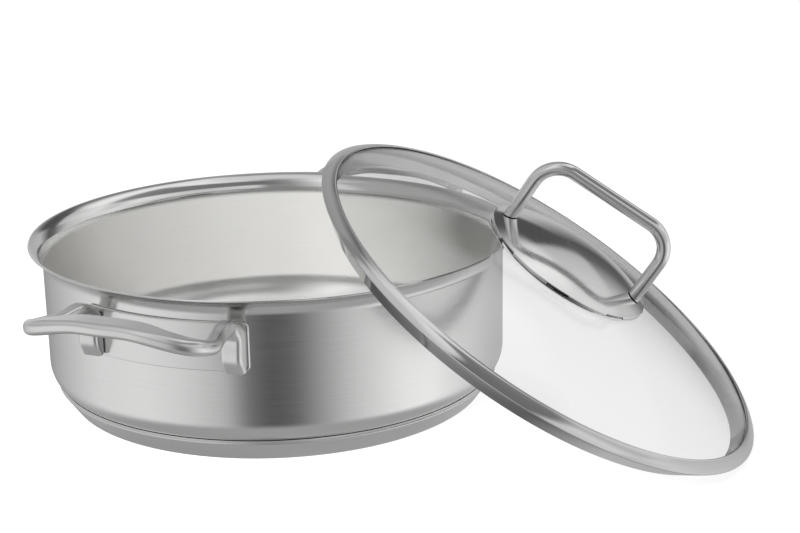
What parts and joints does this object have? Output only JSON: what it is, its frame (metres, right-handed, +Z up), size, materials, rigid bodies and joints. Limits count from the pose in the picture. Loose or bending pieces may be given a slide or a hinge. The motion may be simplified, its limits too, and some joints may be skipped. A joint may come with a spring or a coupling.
{
  "type": "serving pan with lid",
  "caption": "Stainless serving pan with loop side handles and a capsule base; its domed glass lid with steel rim and bow handle leans on the lip and lifts off.",
  "frame": {"origin": "on the table at the pan's axis, the middle of the base's underside", "axes": "+Z up along the pan's axis, the side handles along X, the lid leaning on the -Y side"},
  "size_m": [0.4074, 0.4539, 0.1616],
  "materials": {
    "satin_steel": "satin",
    "brushed_steel": "brushed",
    "polished_steel": "polished",
    "core_aluminium": "bare",
    "clear_glass": "clear",
    "silicone": "matte"
  },
  "bodies": {
    "pan": {"pan_shell": "satin_steel", "base_core": "core_aluminium", "base_cap": "brushed_steel", "right_handle_plate": "satin_steel", "right_handle": "satin_steel", "left_handle_plate": "satin_steel", "left_handle": "satin_steel"},
    "lid": {"lid_glass": "clear_glass", "lid_rim": "brushed_steel", "lid_handle_disc": "polished_steel", "lid_handle_bow": "brushed_steel", "upper_screw_bush": "silicone", "upper_screw_washer": "brushed_steel", "upper_handle_screw": "brushed_steel", "lower_screw_bush": "silicone", "lower_screw_washer": "brushed_steel", "lower_handle_screw": "brushed_steel"}
  },
  "joints": [
    {"name": "lid_lift", "type": "slide", "parent": "pan", "child": "lid", "axis": [0, 0, 1], "range_m": [0, 0.15]}
  ]
}
